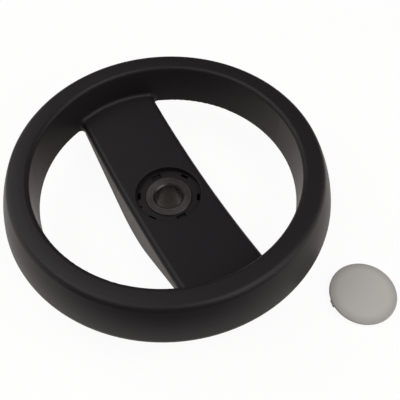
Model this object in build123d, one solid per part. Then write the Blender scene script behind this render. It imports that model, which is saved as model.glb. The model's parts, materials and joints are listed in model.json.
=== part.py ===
from build123d import *
from math import acos, atan2, cos, degrees, hypot, radians, sin, sqrt, tan
import os

# Machine handwheel: a rim and a dished two-arm bar in one moulding, a steel bush moulded into
# its hub, and a snap-in hub cap that lies beside the wheel.
# Frame: the origin is on the bore axis at the hub's lower face, +Z points at the operator and
# the bar runs along Y. Sizes are in millimetres and angles in degrees.

# Rim: a ring whose outer wall leans inwards as it rises
rim_diameter = 160.0
rim_height = 23.9
rim_standoff = 24.0            # from the hub's lower face up to the rim's lower face
rim_head_width = 15.8          # from the rim's outside to its opening, at the upper face
rim_base_width = 16.3          # the same, at the lower face
rim_foot_round = 4.3
rim_foot_lean = 8.5
rim_head_lean = 26.2
rim_crown_drop = 0.4           # how far the upper face falls from its middle to its edges
rim_outer_round = 3.4
rim_inner_round = 2.2
rim_throat_round = 0.6

# Bar: dished on top, deepest at the hub and thinning out to the rim
bar_top_width = 42.0
bar_side_draft = 0.8
bar_edge_round = 2.8
bar_dish_drop = 0.3            # the dish's lowest point, below the rim's lower face
bar_end_height = 7.04          # the dish above the rim's base, where it meets the throat
bar_keel_height = 1.0          # the underside's lowest point, above the hub's lower face
bar_keel_radius = 37.0
bar_level_end = 3.9            # along a side: the stretch level with the rim's base, up to the throat
bar_root_round = 2.2           # where the bar runs into the rim
bar_root_depth = 4.5           # how far the bar is let into the rim's section

# Hub boss, under the bar
boss_diameter = 31.0
boss_chamfer = 0.6

# Cap seat: a round recess with snap slots, two key pockets and a locating hole
seat_diameter = 33.0
seat_depth = 2.9
seat_edge_round = 0.35
stations = 6                   # slots and pockets share these equal steps round the hub
slot_inset = 1.5               # from the seat's wall to the middle of a slot
slot_length = 4.1
slot_width = 1.6
slot_depth = 5.0
slot_ledge_depth = 1.2         # below the ledge a slot opens outwards and holds the hook's barb
slot_undercut = 0.5
pocket_inset = 2.6
pocket_length = 5.2
pocket_width = 2.9
pocket_depth = 1.5
locator_inset = 1.5
locator_diameter = 1.2
locator_depth = 1.6
locator_angle = 175.0

# Bush: steel, moulded in
bush_diameter = 23.5
bush_stand_up = 0.8            # above the seat's floor
bore_diameter = 14.0
bore_chamfer = 0.8
bush_edge_chamfer = 0.3
bush_groove_width = 4.0
bush_groove_depth = 0.8

# Cap: a shallow shell with hooks, keys and a nib, lying on the tips of its hooks
cap_clearance = 0.15           # all round, in the seat
cap_edge_height = 1.9
cap_lip_height = 1.0           # below the lip the outside slopes in, to lead it into the seat
cap_lead_in = 0.7
cap_edge_round = 0.7
cap_skirt_width = 2.2
cap_bush_clearance = 0.4       # between the bush and the cap's underside
hook_clearance = 0.2           # on each side, in its slot
hook_play = 0.1                # between the barb and the slot's ledge
hook_barb = 0.35
hook_barb_height = 0.6
hook_lead = 0.35               # the slope on the hook's tip
key_clearance = 0.2            # on each side, in its pocket
key_length = 1.2
nib_clearance = 0.15           # all round, in the locating hole
nib_length = 1.2
cap_gap = 8.9                  # from the rim's outside to the cap's edge
cap_bearing = -54.45           # direction of the cap from the bore axis
cap_turn = 11.0                # the cap's own turn, from its seated one

# Worked out from the values above
rim_base = rim_standoff
rim_top = rim_base + rim_height
rim_radius = rim_diameter / 2
mouth_radius = rim_radius - rim_head_width
throat_radius = rim_radius - rim_base_width
dish_low = rim_base - bar_dish_drop
dish_rise = bar_end_height + bar_dish_drop
dish_radius = (throat_radius ** 2 + dish_rise ** 2) / (2 * dish_rise)
seat_radius = seat_diameter / 2
slot_circle = seat_radius - slot_inset
pocket_circle = seat_radius - pocket_inset
locator_circle = seat_radius - locator_inset
seat_floor = dish_low - seat_depth
bush_top = seat_floor + bush_stand_up
cap_radius = seat_radius - cap_clearance
cap_underside = bush_top + cap_bush_clearance
cap_distance = rim_radius + cap_gap + cap_radius
hook_tip = seat_floor - slot_ledge_depth - hook_play - hook_barb_height
station_angles = [90.0 + k * 360.0 / stations for k in range(stations)]
pocket_angles = station_angles[::stations // 2]
slot_angles = [angle for angle in station_angles if angle not in pocket_angles]
overshoot = 1.0                # how far a cutter runs past the face that it opens
tiny = 0.01                    # how near counts as on a face when an edge is picked
low = (Align.CENTER, Align.CENTER, Align.MIN)


def reach_from_axis(point):
    """Distance of a point from the bore axis."""
    return hypot(point.X, point.Y)


def nearest_corner(section, x, z):
    """The vertex of a section in the XZ plane that lies nearest to x, z."""
    return section.vertices().sort_by_distance((x, 0, z))[0]


def rod(diameter, z_low, z_high):
    """A round bar on the bore axis between two heights."""
    return Pos(0, 0, z_low) * Cylinder(diameter / 2, z_high - z_low, align=low)


def polar_block(angle, inner, outer, length, z_low, z_high):
    """A block between two radii: length runs across the radius, at an angle round the axis."""
    block = Box(outer - inner, length, z_high - z_low, align=low)
    return Rot(0, 0, angle) * Pos((inner + outer) / 2, 0, z_low) * block


def rim_ring():
    """The rim, turned from its section: its widest point is in the round of its foot."""
    foot_centre = (rim_radius - rim_foot_round, rim_base + rim_foot_round)
    foot = CenterArc(foot_centre, rim_foot_round, -90, 90 + rim_foot_lean)
    start = foot @ 1
    turn = rim_head_lean - rim_foot_lean
    shoulder = rim_top - rim_crown_drop
    wall_radius = (shoulder - start.Y) / (sin(radians(rim_head_lean)) - sin(radians(rim_foot_lean)))
    wall_centre = (
        start.X - wall_radius * cos(radians(rim_foot_lean)),
        start.Y - wall_radius * sin(radians(rim_foot_lean)),
    )
    wall = CenterArc(wall_centre, wall_radius, rim_foot_lean, turn)
    mouth = (mouth_radius, shoulder)
    throat = (throat_radius, rim_base)
    crown = ThreePointArc(wall @ 1, (((wall @ 1).X + mouth_radius) / 2, rim_top), mouth)
    inside = Polyline(mouth, throat, foot @ 0)
    section = Plane.XZ * make_face([foot, wall, crown, inside])
    section = fillet(nearest_corner(section, (wall @ 1).X, shoulder), rim_outer_round)
    section = fillet(nearest_corner(section, *mouth), rim_inner_round)
    return revolve(section, Axis.Z, 360)


def bar_half_width(z):
    """Half of the bar's width at a height: the sides lean out as they go down."""
    return bar_top_width / 2 + (dish_low - z) * tan(radians(bar_side_draft))


def level_reach():
    """Distance from the bore axis to where the underside comes level with the rim's base."""
    return sqrt(throat_radius ** 2 - bar_half_width(rim_base) ** 2) - bar_level_end


def keel_slope():
    """Slope of the underside, from its rounded keel to its level end, in degrees."""
    drop = bar_keel_height + bar_keel_radius - rim_base
    to_end = degrees(atan2(drop, level_reach()))
    return 90 - to_end - degrees(acos(bar_keel_radius / hypot(level_reach(), drop)))


def bar_profile():
    """The bar seen from the side: a shallow dish above, and a keel, two slopes and level ends below."""
    reach = throat_radius + bar_root_depth
    end_top = dish_low + dish_radius - sqrt(dish_radius ** 2 - reach ** 2)
    dish = ThreePointArc((-reach, end_top), (0, dish_low), (reach, end_top))
    slope = keel_slope()
    keel_centre = (0, bar_keel_height + bar_keel_radius)
    keel = CenterArc(keel_centre, bar_keel_radius, -90 - slope, 2 * slope)
    left = Polyline(dish @ 0, (-reach, rim_base), (-level_reach(), rim_base), keel @ 0)
    right = Polyline(keel @ 1, (level_reach(), rim_base), (reach, rim_base), dish @ 1)
    return Plane.YZ * make_face([dish, left, keel, right])


def spoke_bar():
    """The bar alone, with drafted sides and a rounded edge along the dish."""
    slab = extrude(bar_profile(), bar_top_width, both=True)
    wide = bar_half_width(0)
    narrow = bar_half_width(rim_top)
    flank = make_face(Polyline((-wide, 0), (wide, 0), (narrow, rim_top), (-narrow, rim_top), close=True))
    bar = slab & extrude(Plane.XZ * flank, rim_radius, both=True)
    lips = bar.edges().filter_by(
        lambda e: abs((e @ 0.5).Y) < tiny and abs((e @ 0.5).Z - dish_low) < tiny
    )
    return fillet(lips, bar_edge_round)


def round_the_roots(wheel):
    """Round the bar's top and sides into the rim, then the lower edge of both gaps."""
    near, far = sorted((throat_radius, mouth_radius))
    roots = wheel.edges().filter_by(
        lambda e: near - tiny < reach_from_axis(e @ 0.5) < far + tiny
        and rim_base + tiny < (e @ 0.5).Z < rim_top - rim_crown_drop - rim_inner_round
        and abs((e @ 0.5).X) < bar_half_width(0)
    )
    wheel = fillet(roots, bar_root_round)
    gap_outline = wheel.edges().filter_by(
        lambda e: abs((e @ 0).Z - rim_base) < tiny
        and abs((e @ 0.5).Z - rim_base) < tiny
        and reach_from_axis(e @ 0.5) < throat_radius + tiny
    )
    return fillet(gap_outline, rim_throat_round)


def snap_slot(angle):
    """One slot for a snap hook, opening outwards under a ledge."""
    inner = slot_circle - slot_width / 2
    outer = slot_circle + slot_width / 2
    slot_floor = seat_floor - slot_depth
    catch_top = seat_floor - slot_ledge_depth
    throat = polar_block(angle, inner, outer, slot_length, slot_floor, seat_floor + overshoot)
    catch = polar_block(angle, inner, outer + slot_undercut, slot_length, slot_floor, catch_top)
    return throat + catch


def key_pocket(angle):
    """One shallow pocket for a key of the cap."""
    inner = pocket_circle - pocket_width / 2
    outer = pocket_circle + pocket_width / 2
    pocket_floor = seat_floor - pocket_depth
    return polar_block(angle, inner, outer, pocket_length, pocket_floor, seat_floor + overshoot)


def locating_hole():
    """The small hole beside the slots that turns the cap the right way."""
    hole = Cylinder(locator_diameter / 2, locator_depth + overshoot, align=low)
    return Rot(0, 0, locator_angle) * Pos(locator_circle, 0, seat_floor - locator_depth) * hole


def bush_blank():
    """The bush's outside, with its retaining groove: the hub is moulded round it."""
    middle = bush_top / 2
    groove_low = middle - bush_groove_width / 2
    groove_high = middle + bush_groove_width / 2
    waist = bush_diameter - 2 * bush_groove_depth
    groove = rod(bush_diameter + overshoot, groove_low, groove_high) - rod(waist, groove_low, groove_high)
    return rod(bush_diameter, 0, bush_top) - groove


def wheel_body():
    """The one-piece moulding: rim, bar and boss, with the cap's seat and the bush's hole."""
    boss = chamfer(rod(boss_diameter, 0, seat_floor).edges().group_by(Axis.Z)[0], boss_chamfer)
    wheel = round_the_roots(rim_ring() + spoke_bar()) + boss
    wheel -= rod(seat_diameter, seat_floor, rim_top)
    lip = wheel.edges().filter_by(
        lambda e: abs(reach_from_axis(e @ 0.25) - seat_radius) < tiny
        and (e @ 0.25).Z > seat_floor + tiny
    )
    wheel = fillet(lip, seat_edge_round)
    wheel -= bush_blank()
    for angle in slot_angles:
        wheel -= snap_slot(angle)
    for angle in pocket_angles:
        wheel -= key_pocket(angle)
    return wheel - locating_hole()


def hub_bush():
    """The steel bush: a through bore, with both edges chamfered at the operator's end."""
    bush = bush_blank() - rod(bore_diameter, 0, bush_top)
    for diameter, size in ((bore_diameter, bore_chamfer), (bush_diameter, bush_edge_chamfer)):
        edge = bush.edges().filter_by(GeomType.CIRCLE).filter_by(
            lambda e: abs(e.radius - diameter / 2) < tiny and e.center().Z > bush_top - tiny
        )
        bush = chamfer(edge, size)
    return bush


def cap_shell():
    """The cap's crowned face and its skirt, as they sit in the recess."""
    edge_top = seat_floor + cap_edge_height
    hollow_radius = cap_radius - cap_skirt_width
    face = ThreePointArc((-cap_radius, edge_top), (0, dish_low), (cap_radius, edge_top))
    skirt = Polyline(
        face @ 1,
        (cap_radius, edge_top - cap_lip_height),
        (cap_radius - cap_lead_in, seat_floor),
        (hollow_radius, seat_floor),
        (hollow_radius, cap_underside),
        (-hollow_radius, cap_underside),
        (-hollow_radius, seat_floor),
        (cap_lead_in - cap_radius, seat_floor),
        (-cap_radius, edge_top - cap_lip_height),
        face @ 0,
    )
    section = Plane.XZ * make_face([face, skirt])
    for side in (-cap_radius, cap_radius):
        section = fillet(nearest_corner(section, side, edge_top), cap_edge_round)
    return revolve(split(section, Plane.YZ, keep=Keep.TOP), Axis.Z, 360)


def snap_hook(angle):
    """One hook of the cap: a short tongue with an outward barb and a sloped tip."""
    inner = slot_circle - slot_width / 2 + hook_clearance
    outer = slot_circle + slot_width / 2 - hook_clearance
    barb_top = hook_tip + hook_barb_height
    section = make_face(
        Polyline(
            (inner, seat_floor),
            (inner, hook_tip),
            (outer + hook_barb - hook_lead, hook_tip),
            (outer + hook_barb, hook_tip + hook_lead),
            (outer + hook_barb, barb_top),
            (outer, barb_top),
            (outer, seat_floor),
            close=True,
        )
    )
    width = slot_length - 2 * hook_clearance
    return Rot(0, 0, angle) * extrude(Plane.XZ * section, width / 2, both=True)


def pocket_key(angle):
    """One key of the cap, which drops into a pocket of the seat."""
    inner = pocket_circle - pocket_width / 2 + key_clearance
    outer = pocket_circle + pocket_width / 2 - key_clearance
    length = pocket_length - 2 * key_clearance
    return polar_block(angle, inner, outer, length, seat_floor - key_length, cap_underside)


def hub_cap():
    """The cap, taken off and set down beside the wheel on the tips of its hooks."""
    cap = cap_shell()
    for angle in slot_angles:
        cap += snap_hook(angle)
    for angle in pocket_angles:
        cap += pocket_key(angle)
    nib = Cylinder(locator_diameter / 2 - nib_clearance, nib_length, align=low)
    cap += Rot(0, 0, locator_angle) * Pos(locator_circle, 0, seat_floor - nib_length) * nib
    place = Rot(0, 0, cap_bearing) * Pos(cap_distance, 0, -hook_tip)
    return place * Rot(0, 0, cap_turn) * cap


os.makedirs("parts", exist_ok=True)
for name, piece in (("wheel_body", wheel_body()), ("hub_bush", hub_bush()), ("hub_cap", hub_cap())):
    export_step(piece, f"parts/{name}.step")
    size = piece.bounding_box().size
    print(f"{name}: {len(piece.solids())} solid, {piece.volume / 1000:.2f} cm3, "
          f"{size.X:.1f} x {size.Y:.1f} x {size.Z:.1f} mm")
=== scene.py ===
"""Machine handwheel: finishes, floor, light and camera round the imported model.

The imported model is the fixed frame. +Z points at the operator and the bar runs along Y. Sizes are
in millimetres where a name ends in _mm and in metres otherwise, but a dust speck's radius is a
share of its cell. Angles are in degrees where a name ends in _deg, and the lamps' powers are in
watts.
"""

from __future__ import annotations

import json
import logging
import math
from dataclasses import dataclass
from enum import Enum

import bpy
from mathutils import Matrix, Vector

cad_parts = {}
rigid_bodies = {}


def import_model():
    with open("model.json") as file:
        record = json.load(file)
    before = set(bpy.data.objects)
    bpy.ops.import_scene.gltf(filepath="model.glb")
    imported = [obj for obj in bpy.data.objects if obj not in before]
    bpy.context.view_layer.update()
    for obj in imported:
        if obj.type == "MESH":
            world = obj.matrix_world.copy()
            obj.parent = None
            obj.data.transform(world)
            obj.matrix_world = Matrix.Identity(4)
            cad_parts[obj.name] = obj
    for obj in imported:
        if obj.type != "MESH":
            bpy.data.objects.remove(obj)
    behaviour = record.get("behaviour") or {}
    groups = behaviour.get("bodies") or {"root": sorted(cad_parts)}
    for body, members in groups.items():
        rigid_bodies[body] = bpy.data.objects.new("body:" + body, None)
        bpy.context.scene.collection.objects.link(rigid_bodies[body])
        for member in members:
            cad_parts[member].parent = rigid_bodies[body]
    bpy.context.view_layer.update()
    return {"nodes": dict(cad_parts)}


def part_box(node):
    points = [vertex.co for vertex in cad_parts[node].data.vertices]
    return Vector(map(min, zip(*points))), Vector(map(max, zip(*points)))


LOG = logging.getLogger("handwheel")
MM = 0.001

WHITE = (1.0, 1.0, 1.0)
BLENDER_WAVE_FACTOR = 20.0

Colour = tuple[float, float, float]
Socket = bpy.types.NodeSocket


class Node(Enum):
    """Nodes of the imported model."""

    WHEEL = "wheel_body"
    BUSH = "hub_bush"
    CAP = "hub_cap"


class Lathe(Enum):
    """Directions in which a turning tool leaves its marks."""

    ACROSS_FACE = "RINGS"
    ALONG_BORE = "BANDS"


def deselect_all() -> None:
    """Leave no object selected, because an operator acts on all that is."""
    for obj in bpy.context.view_layer.objects:
        obj.select_set(False)


# ---------------------------------------------------------------- shared effects


@dataclass(frozen=True)
class Tree:
    """A node tree with short ways to add and join its nodes."""

    tree: bpy.types.NodeTree

    def add(self, kind: str, **settings: object) -> bpy.types.Node:
        """Add a node.

        Args:
            kind: Type name of the node without its ShaderNode prefix.
            settings: Properties to set on it.

        Returns:
            The new node.
        """
        node = self.tree.nodes.new("ShaderNode" + kind)
        for key, value in settings.items():
            setattr(node, key, value)
        return node

    def join(self, source: Socket, target: Socket) -> None:
        """Link one socket to another."""
        self.tree.links.new(source, target)

    def math(self, kind: str, *values: Socket | float, clamp: bool = False) -> Socket:
        """Add a Math node.

        Args:
            kind: The operation.
            values: Sockets or numbers for its inputs, in order.
            clamp: Whether the result is kept between 0 and 1.

        Returns:
            The result.
        """
        node = self.add("Math", operation=kind, use_clamp=clamp)
        for socket, value in zip(node.inputs, values):
            if isinstance(value, Socket):
                self.join(value, socket)
            else:
                socket.default_value = value
        return node.outputs["Value"]

    def ramp(self, value: Socket, low: float, high: float) -> Socket:
        """Map 0 to 1 onto a range.

        Args:
            value: The socket to map.
            low: Result at 0.
            high: Result at 1.

        Returns:
            The mapped value.
        """
        node = self.add("MapRange")
        node.inputs["To Min"].default_value = low
        node.inputs["To Max"].default_value = high
        self.join(value, node.inputs["Value"])
        return node.outputs["Result"]

    def blend(
        self,
        share: Socket | float,
        first: Socket | Colour,
        second: Socket | Colour,
        kind: str = "MIX",
    ) -> Socket:
        """Mix two colours.

        Args:
            share: How much of the second colour there is.
            first: First colour.
            second: Second colour.
            kind: The way of mixing.

        Returns:
            The mixed colour.
        """
        node = self.add("Mix", data_type="RGBA", blend_type=kind)
        if isinstance(share, Socket):
            self.join(share, node.inputs["Factor"])
        else:
            node.inputs["Factor"].default_value = share
        for key, colour in (("A", first), ("B", second)):
            side = next(item for item in node.inputs if item.name == key and item.type == "RGBA")
            if isinstance(colour, Socket):
                self.join(colour, side)
            else:
                side.default_value = (*colour, 1.0)
        return next(item for item in node.outputs if item.type == "RGBA")

    def group(self, tree: bpy.types.NodeTree, place: Socket, **values: float) -> bpy.types.Node:
        """Place a shared effect.

        Args:
            tree: The effect's node group.
            place: Coordinates that it reads.
            values: Numbers for its inputs.

        Returns:
            The group node.
        """
        node = self.add("Group", node_tree=tree)
        self.join(place, node.inputs["Vector"])
        for key, value in values.items():
            node.inputs[key].default_value = value
        return node

    def bump(self, height: Socket, distance_mm: float, shader: bpy.types.Node) -> None:
        """Raise a surface by a pattern.

        Args:
            height: The pattern, from 0 to 1.
            distance_mm: The height that 1 stands for.
            shader: The shader whose normal it turns.
        """
        node = self.add("Bump")
        node.inputs["Distance"].default_value = distance_mm * MM
        self.join(height, node.inputs["Height"])
        self.join(node.outputs["Normal"], shader.inputs["Normal"])

    def mirrored(self, path: bpy.types.Node) -> Socket:
        """Tell rays that come by way of a mirroring or clear surface.

        Args:
            path: The tree's Light Path node.

        Returns:
            1 for such a ray and 0 for any other.
        """
        return self.math("MAXIMUM", path.outputs["Is Glossy Ray"], path.outputs["Is Transmission Ray"])


def new_effect(
    name: str, inputs: tuple[str, ...], outputs: tuple[str, ...]
) -> tuple[Tree, dict[str, Socket], dict[str, Socket]]:
    """Make an empty shader node group with a vector input and float sockets.

    Args:
        name: Name of the group.
        inputs: Names of the float inputs.
        outputs: Names of the float outputs.

    Returns:
        The tree, its input sockets and its output sockets, by name.
    """
    group = bpy.data.node_groups.new(name, "ShaderNodeTree")
    group.interface.new_socket("Vector", in_out="INPUT", socket_type="NodeSocketVector")
    for key in inputs:
        group.interface.new_socket(key, in_out="INPUT", socket_type="NodeSocketFloat")
    for key in outputs:
        group.interface.new_socket(key, in_out="OUTPUT", socket_type="NodeSocketFloat")
    source = group.nodes.new("NodeGroupInput")
    sink = group.nodes.new("NodeGroupOutput")
    given = {item.name: item for item in source.outputs if item.name}
    wanted = {item.name: item for item in sink.inputs if item.name}
    return Tree(group), given, wanted


def moulded_grain() -> bpy.types.NodeTree:
    """Fine grain of a spark-eroded mould, and slow changes in how matt the skin is.

    Returns:
        A group with a Height and a Cloud output, both about 0.5 on average.
    """
    name = "moulded_grain"
    if name in bpy.data.node_groups:
        return bpy.data.node_groups[name]
    grain_detail = 2.0
    cloud_detail = 3.0
    noise_roughness = 0.6
    effect, given, wanted = new_effect(name, ("Grain", "Cloud"), ("Height", "Cloud"))
    for key, target, detail in (("Grain", "Height", grain_detail), ("Cloud", "Cloud", cloud_detail)):
        noise = effect.add("TexNoise")
        noise.inputs["Detail"].default_value = detail
        noise.inputs["Roughness"].default_value = noise_roughness
        effect.join(given["Vector"], noise.inputs["Vector"])
        effect.join(given[key], noise.inputs["Scale"])
        effect.join(noise.outputs["Fac"], wanted[target])
    return effect.tree


def radial_fade() -> bpy.types.NodeTree:
    """A value that rises smoothly with the distance from the Z axis.

    Returns:
        A group with a Mask output: 0 inside the Inner radius and 1 outside the Outer one.
    """
    name = "radial_fade"
    if name in bpy.data.node_groups:
        return bpy.data.node_groups[name]
    effect, given, wanted = new_effect(name, ("Inner", "Outer"), ("Mask",))
    flat = effect.add("VectorMath", operation="MULTIPLY")
    flat.inputs[1].default_value = (1.0, 1.0, 0.0)
    effect.join(given["Vector"], flat.inputs[0])
    length = effect.add("VectorMath", operation="LENGTH")
    effect.join(flat.outputs["Vector"], length.inputs[0])
    rise = effect.add("MapRange", interpolation_type="SMOOTHSTEP")
    effect.join(length.outputs["Value"], rise.inputs["Value"])
    effect.join(given["Inner"], rise.inputs["From Min"])
    effect.join(given["Outer"], rise.inputs["From Max"])
    effect.join(rise.outputs["Result"], wanted["Mask"])
    return effect.tree


def fine_dust() -> bpy.types.NodeTree:
    """Sparse specks of dust.

    Returns:
        A group with a Mask output that is 1 on a speck.
    """
    name = "fine_dust"
    if name in bpy.data.node_groups:
        return bpy.data.node_groups[name]
    effect, given, wanted = new_effect(name, ("Scale", "Radius", "Share"), ("Mask",))
    cells = effect.add("TexVoronoi", feature="F1")
    effect.join(given["Vector"], cells.inputs["Vector"])
    effect.join(given["Scale"], cells.inputs["Scale"])
    parts = effect.add("SeparateColor")
    effect.join(cells.outputs["Color"], parts.inputs["Color"])
    near = effect.math("LESS_THAN", cells.outputs["Distance"], given["Radius"])
    kept = effect.math("LESS_THAN", parts.outputs["Red"], given["Share"])
    effect.join(effect.math("MULTIPLY", near, kept), wanted["Mask"])
    return effect.tree


# ---------------------------------------------------------------- finishes


def blank_material(name: str) -> tuple[bpy.types.Material, Tree, bpy.types.Node, Socket]:
    """Make a material with its shader and object coordinates.

    Args:
        name: Name of the material.

    Returns:
        The material, its tree, its shader and its object coordinates.
    """
    material = bpy.data.materials.new(name)
    material.use_nodes = True
    tree = Tree(material.node_tree)
    place = tree.add("TexCoord").outputs["Object"]
    return material, tree, material.node_tree.nodes["Principled BSDF"], place


@dataclass(frozen=True)
class Matt:
    """How matt a surface is, from its smoother to its rougher patches."""

    low: float
    high: float

    def over(self, tree: Tree, cloud: Socket) -> Socket:
        """Spread it over the surface by a slow pattern."""
        return tree.ramp(cloud, self.low, self.high)


@dataclass(frozen=True)
class BlackPlastic:
    """Glass-filled black moulding: matt, with a little dust."""

    name: str = "black_plastic"
    colour: Colour = (0.0113, 0.0098, 0.0108)
    colour_light: Colour = (0.0133, 0.0116, 0.0128)
    dust_colour: Colour = (0.060, 0.058, 0.056)
    matt: Matt = Matt(0.37, 0.43)
    specular: float = 0.15
    grain_per_m: float = 2600.0
    grain_height_mm: float = 0.010
    cloud_per_m: float = 34.0
    dust_per_m: float = 90.0
    dust_radius: float = 0.035
    dust_share: float = 0.12

    def material(self) -> bpy.types.Material:
        """Build the material.

        Returns:
            A matt black with grain, slow changes of tone and sparse dust.
        """
        material, tree, shader, place = blank_material(self.name)
        shader.inputs["Specular IOR Level"].default_value = self.specular
        grain = tree.group(moulded_grain(), place, Grain=self.grain_per_m, Cloud=self.cloud_per_m)
        dust = tree.group(
            fine_dust(), place, Scale=self.dust_per_m, Radius=self.dust_radius, Share=self.dust_share
        )
        skin = tree.blend(grain.outputs["Cloud"], self.colour, self.colour_light)
        dusted = tree.blend(dust.outputs["Mask"], skin, self.dust_colour)
        tree.join(dusted, shader.inputs["Base Color"])
        tree.join(self.matt.over(tree, grain.outputs["Cloud"]), shader.inputs["Roughness"])
        tree.bump(grain.outputs["Height"], self.grain_height_mm, shader)
        return material


@dataclass(frozen=True)
class GreyPlastic:
    """Plain grey moulding, with painted shade that darkens it towards its edge."""

    centre: tuple[float, float]
    fade_inner: float
    fade_outer: float
    name: str = "grey_plastic"
    colour: Colour = (0.410, 0.393, 0.368)
    colour_light: Colour = (0.430, 0.413, 0.388)
    edge_shade: Colour = (0.72, 0.71, 0.715)
    matt: Matt = Matt(0.50, 0.58)
    specular: float = 0.30
    grain_per_m: float = 2600.0
    grain_height_mm: float = 0.004
    cloud_per_m: float = 70.0

    def material(self) -> bpy.types.Material:
        """Build the material.

        Returns:
            A satin grey with fine grain and painted shade that darkens its edge.
        """
        material, tree, shader, place = blank_material(self.name)
        shader.inputs["Specular IOR Level"].default_value = self.specular
        grain = tree.group(moulded_grain(), place, Grain=self.grain_per_m, Cloud=self.cloud_per_m)
        centred = tree.add("Mapping", vector_type="POINT")
        centred.inputs["Location"].default_value = (-self.centre[0], -self.centre[1], 0.0)
        tree.join(place, centred.inputs["Vector"])
        fade = tree.group(
            radial_fade(), centred.outputs["Vector"], Inner=self.fade_inner, Outer=self.fade_outer
        )
        skin = tree.blend(grain.outputs["Cloud"], self.colour, self.colour_light)
        # Painted shade: the base colour is darkened by edge_shade from fade_inner out to fade_outer.
        shade = tree.blend(fade.outputs["Mask"], WHITE, self.edge_shade)
        tree.join(tree.blend(1.0, skin, shade, "MULTIPLY"), shader.inputs["Base Color"])
        tree.join(self.matt.over(tree, grain.outputs["Cloud"]), shader.inputs["Roughness"])
        tree.bump(grain.outputs["Height"], self.grain_height_mm, shader)
        return material


@dataclass(frozen=True)
class TurnedSteel:
    """Turned steel with a black oxide finish: rings across its face, turns along its bore."""

    name: str = "dark_steel"
    colour: Colour = (0.040, 0.036, 0.034)
    colour_light: Colour = (0.092, 0.083, 0.079)
    metallic: float = 0.85
    anisotropic: float = 0.5
    matt: Matt = Matt(0.34, 0.46)
    grain_per_m: float = 2600.0
    cloud_per_m: float = 260.0
    broad_turn_mm: float = 1.15
    broad_share: float = 0.35
    fine_turn_mm: float = 0.30
    turn_height_mm: float = 0.006
    turn_wobble: float = 0.5
    turn_detail: float = 0.4
    bore_polish: float = 0.55

    def turns(self, tree: Tree, place: Socket, way: Lathe, pitch_mm: float) -> Socket:
        """Add tool marks.

        Args:
            tree: The material's tree.
            place: Object coordinates.
            way: The direction of the marks.
            pitch_mm: Distance from one mark to the next.

        Returns:
            A wave from 0 to 1.
        """
        wave = tree.add("TexWave", wave_type=way.value)
        if way is Lathe.ACROSS_FACE:
            wave.rings_direction = "Z"
        else:
            wave.bands_direction = "Z"
        wave.inputs["Scale"].default_value = math.tau / BLENDER_WAVE_FACTOR / (pitch_mm * MM)
        wave.inputs["Distortion"].default_value = self.turn_wobble
        wave.inputs["Detail Scale"].default_value = self.turn_detail
        tree.join(place, wave.inputs["Vector"])
        return wave.outputs["Fac"]

    def material(self) -> bpy.types.Material:
        """Build the material.

        Returns:
            A dark metal with rings on its faces, turns in its bore and blotches in its colour.
        """
        material, tree, shader, place = blank_material(self.name)
        shader.inputs["Metallic"].default_value = self.metallic
        shader.inputs["Anisotropic"].default_value = self.anisotropic
        round_z = tree.add("Tangent", direction_type="RADIAL", axis="Z")
        tree.join(round_z.outputs["Tangent"], shader.inputs["Tangent"])
        grain = tree.group(moulded_grain(), place, Grain=self.grain_per_m, Cloud=self.cloud_per_m)
        broad = self.turns(tree, place, Lathe.ACROSS_FACE, self.broad_turn_mm)
        tone = tree.math("MULTIPLY_ADD", broad, self.broad_share, grain.outputs["Cloud"])
        tone = tree.math("SUBTRACT", tone, self.broad_share / 2, clamp=True)
        tree.join(tree.blend(tone, self.colour, self.colour_light), shader.inputs["Base Color"])
        facing = tree.add("SeparateXYZ")
        tree.join(tree.add("NewGeometry").outputs["Normal"], facing.inputs["Vector"])
        flat = tree.math("ABSOLUTE", facing.outputs["Z"])
        polish = tree.ramp(flat, self.bore_polish, 1.0)
        matt = tree.math("MULTIPLY", self.matt.over(tree, grain.outputs["Cloud"]), polish)
        tree.join(matt, shader.inputs["Roughness"])
        marks = tree.add("Mix", data_type="FLOAT")
        tree.join(flat, marks.inputs["Factor"])
        for key, way in (("A", Lathe.ALONG_BORE), ("B", Lathe.ACROSS_FACE)):
            tree.join(self.turns(tree, place, way, self.fine_turn_mm), marks.inputs[key])
        tree.bump(marks.outputs["Result"], self.turn_height_mm, shader)
        return material


# ---------------------------------------------------------------- sub-assemblies


def dress(node: bpy.types.Object, material: bpy.types.Material) -> None:
    """Give a CAD node one finish all over.

    Args:
        node: The CAD node.
        material: Its finish.
    """
    node.data.materials.clear()
    node.data.materials.append(material)
    LOG.info("%s: %d triangles in %s", node.name, len(node.data.polygons), material.name)


@dataclass(frozen=True)
class Wheel:
    """Rim, cross bar and hub, moulded in one piece."""

    finish: BlackPlastic = BlackPlastic()

    def build(self, nodes: dict[str, bpy.types.Object]) -> None:
        """Dress the moulding.

        Args:
            nodes: The CAD nodes by name.
        """
        dress(nodes[Node.WHEEL.value], self.finish.material())


@dataclass(frozen=True)
class HubBush:
    """Turned bush in the hub, with its bore."""

    finish: TurnedSteel = TurnedSteel()

    def build(self, nodes: dict[str, bpy.types.Object]) -> None:
        """Dress the bush.

        Args:
            nodes: The CAD nodes by name.
        """
        dress(nodes[Node.BUSH.value], self.finish.material())


@dataclass(frozen=True)
class HubCap:
    """Snap-in cap, which lies beside the wheel."""

    fade_from_share: float = 0.70
    fade_to_share: float = 1.06

    def build(self, nodes: dict[str, bpy.types.Object]) -> None:
        """Dress the cap.

        Args:
            nodes: The CAD nodes by name.
        """
        low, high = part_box(Node.CAP.value)
        radius = (high[0] - low[0]) / 2
        # The painted edge shade runs from fade_from_share to fade_to_share of the cap's radius.
        finish = GreyPlastic(
            centre=((low[0] + high[0]) / 2, (low[1] + high[1]) / 2),
            fade_inner=self.fade_from_share * radius,
            fade_outer=self.fade_to_share * radius,
        )
        dress(nodes[Node.CAP.value], finish.material())


# ---------------------------------------------------------------- studio


@dataclass(frozen=True)
class Tier:
    """A height at which lamps stand, with their size and tint there."""

    elevation_deg: float
    width: float
    height: float
    tint: Colour = WHITE


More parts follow.
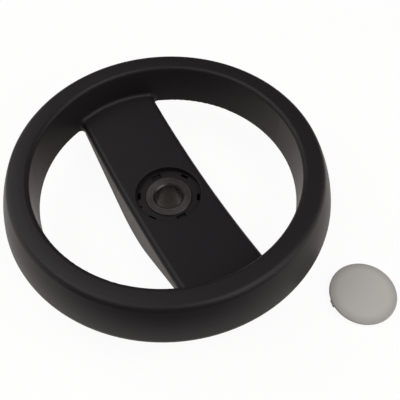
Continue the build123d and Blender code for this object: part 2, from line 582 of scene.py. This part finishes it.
HIGH = Tier(elevation_deg=62.0, width=0.62, height=0.46)
MIDDLE = Tier(elevation_deg=33.0, width=0.80, height=0.46)
LOW = Tier(elevation_deg=12.0, width=0.90, height=0.30, tint=(1.0, 0.94, 0.86))


@dataclass(frozen=True)
class SoftLamp:
    """One soft rectangular lamp, a metre from the hub and facing it."""

    name: str
    tier: Tier
    bearing_deg: float
    power: float

    def build(self, ahead_deg: float) -> None:
        """Add the lamp.

        Args:
            ahead_deg: The bearing that the camera looks along, from which the lamp's is counted.
        """
        turn = math.radians(ahead_deg + self.bearing_deg)
        rise = math.radians(self.tier.elevation_deg)
        level = Vector((math.sin(turn), math.cos(turn), 0.0)) * math.cos(rise)
        place = level + Vector((0.0, 0.0, math.sin(rise)))
        light = bpy.data.lights.new(self.name, "AREA")
        light.shape = "RECTANGLE"
        light.size = self.tier.width
        light.size_y = self.tier.height
        light.energy = self.power
        light.color = self.tier.tint
        lamp = bpy.data.objects.new(self.name, light)
        lamp.location = place
        lamp.rotation_euler = (-place).to_track_quat("-Z", "Y").to_euler()
        bpy.context.scene.collection.objects.link(lamp)


LAMPS = (
    SoftLamp("near_right", HIGH, bearing_deg=120.0, power=4.20),
    SoftLamp("near_left", HIGH, bearing_deg=240.0, power=2.30),
    SoftLamp("far_left", HIGH, bearing_deg=300.0, power=2.50),
    SoftLamp("side_left", MIDDLE, bearing_deg=300.0, power=2.20),
    SoftLamp("side_right", MIDDLE, bearing_deg=120.0, power=2.40),
    SoftLamp("low_left", LOW, bearing_deg=270.0, power=2.30),
    SoftLamp("low_right", LOW, bearing_deg=90.0, power=2.40),
)


@dataclass(frozen=True)
class Studio:
    """Pale floor, dim room, soft lamps and the camera."""

    floor_reach: float = 0.7
    floor_near: float = 0.147
    floor_colour: Colour = (0.88, 0.85, 0.83)
    floor_lift: float = 0.93
    # Colours of the painted glow that mirroring rays see on the floor near the hub and farther out.
    painted_glow_near: Colour = (0.27, 0.24, 0.22)
    painted_glow_far: Colour = (0.15, 0.135, 0.125)
    gloss_from: float = 0.064
    gloss_to: float = 0.110
    room_level: float = 0.01
    room_gloss: float = 0.08
    camera_elevation_deg: float = 55.24
    camera_bearing_deg: float = 28.65
    camera_roll_deg: float = 0.4
    camera_place: tuple[float, float, float] = (-0.0721, -0.16485, 0.2760)
    lens_mm: float = 55.54
    sensor_mm: float = 36.0
    nearest_seen: float = 0.01

    def build(self) -> None:
        """Make the floor, the room, the lamps and the camera."""
        self.floor()
        self.room()
        for lamp in LAMPS:
            lamp.build(self.camera_bearing_deg)
        self.camera()
        bpy.context.scene.view_settings.view_transform = "Standard"
        LOG.info("studio: floor, room, %d lamps and camera", len(LAMPS))

    def floor(self) -> None:
        """Add the floor: a pale table top, seen as white, with the shadow kept.

        It reaches far to the sides and behind the wheel, and ends soon on the camera's side.
        """
        deselect_all()
        bpy.ops.mesh.primitive_plane_add(size=1.0, location=(0, 0, 0))
        floor = bpy.context.active_object
        floor.name = "floor"
        turn = Matrix.Rotation(-math.radians(self.camera_bearing_deg), 4, "Z")
        middle = Matrix.Translation((0.0, (self.floor_reach - self.floor_near) / 2, 0.0))
        size = Matrix.Diagonal((2 * self.floor_reach, self.floor_reach + self.floor_near, 1.0, 1.0))
        floor.data.transform(turn @ middle @ size)
        floor.data.materials.append(self.floor_paint())

    def floor_paint(self) -> bpy.types.Material:
        """Build the floor's material.

        Returns:
            A pale paint, near white to the camera, with a painted glow that only mirroring surfaces
            see, brighter near the hub.
        """
        material = bpy.data.materials.new("floor_paint")
        material.use_nodes = True
        material.node_tree.nodes.clear()
        tree = Tree(material.node_tree)
        place = tree.add("TexCoord").outputs["Object"]
        path = tree.add("LightPath")
        paint = tree.add("BsdfDiffuse")
        paint.inputs["Color"].default_value = (*self.floor_colour, 1.0)
        white = tree.add("Emission")
        white.inputs["Color"].default_value = (*WHITE, 1.0)
        seen = tree.add("MixShader")
        lift = tree.math("MULTIPLY", path.outputs["Is Camera Ray"], self.floor_lift)
        tree.join(lift, seen.inputs["Fac"])
        tree.join(paint.outputs["BSDF"], seen.inputs[1])
        tree.join(white.outputs["Emission"], seen.inputs[2])
        # Painted reflection: the floor glows to glossy and transmission rays, more strongly within
        # gloss_from of the hub, so the wheel's walls reflect more light than the shaded floor there
        # would give.
        far = tree.group(radial_fade(), place, Inner=self.gloss_from, Outer=self.gloss_to)
        glow = tree.add("Emission")
        shine = tree.blend(far.outputs["Mask"], self.painted_glow_near, self.painted_glow_far)
        tree.join(shine, glow.inputs["Color"])
        tree.join(tree.mirrored(path), glow.inputs["Strength"])
        both = tree.add("AddShader")
        tree.join(seen.outputs["Shader"], both.inputs[0])
        tree.join(glow.outputs["Emission"], both.inputs[1])
        tree.join(both.outputs["Shader"], tree.add("OutputMaterial").inputs["Surface"])
        return material

    def room(self) -> None:
        """Set a dim neutral room that shows as white to the camera."""
        world = bpy.data.worlds.new("room")
        world.use_nodes = True
        tree = Tree(world.node_tree)
        background = world.node_tree.nodes["Background"]
        background.inputs["Color"].default_value = (*WHITE, 1.0)
        path = tree.add("LightPath")
        gloss = tree.math("MULTIPLY", tree.mirrored(path), self.room_gloss)
        level = tree.math("MAXIMUM", gloss, self.room_level)
        level = tree.math("MAXIMUM", level, path.outputs["Is Camera Ray"])
        tree.join(level, background.inputs["Strength"])
        bpy.context.scene.world = world

    def camera(self) -> None:
        """Add the camera, turned by its own bearing, elevation and roll."""
        bearing = math.radians(self.camera_bearing_deg)
        elevation = math.radians(self.camera_elevation_deg)
        roll = math.radians(self.camera_roll_deg)
        level = Vector((math.cos(bearing), -math.sin(bearing), 0.0))
        ahead = Vector((math.sin(bearing), math.cos(bearing), 0.0))
        forward = ahead * math.cos(elevation) - Vector((0.0, 0.0, math.sin(elevation)))
        down = forward.cross(level)
        across = level * math.cos(roll) + down * math.sin(roll)
        upward = (-forward).cross(across)
        data = bpy.data.cameras.new("camera")
        data.lens = self.lens_mm
        data.sensor_width = self.sensor_mm
        data.clip_start = self.nearest_seen
        camera = bpy.data.objects.new("camera", data)
        turn = Matrix((across, upward, -forward)).transposed()
        camera.matrix_world = Matrix.Translation(self.camera_place) @ turn.to_4x4()
        bpy.context.scene.collection.objects.link(camera)
        bpy.context.scene.camera = camera


def main() -> None:
    """Load the frame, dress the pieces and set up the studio."""
    logging.basicConfig(level=logging.INFO, format="%(name)s: %(message)s")
    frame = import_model()
    nodes = frame["nodes"]
    for part in (Wheel(), HubBush(), HubCap()):
        part.build(nodes)
    Studio().build()


if __name__ == "__main__":
    main()
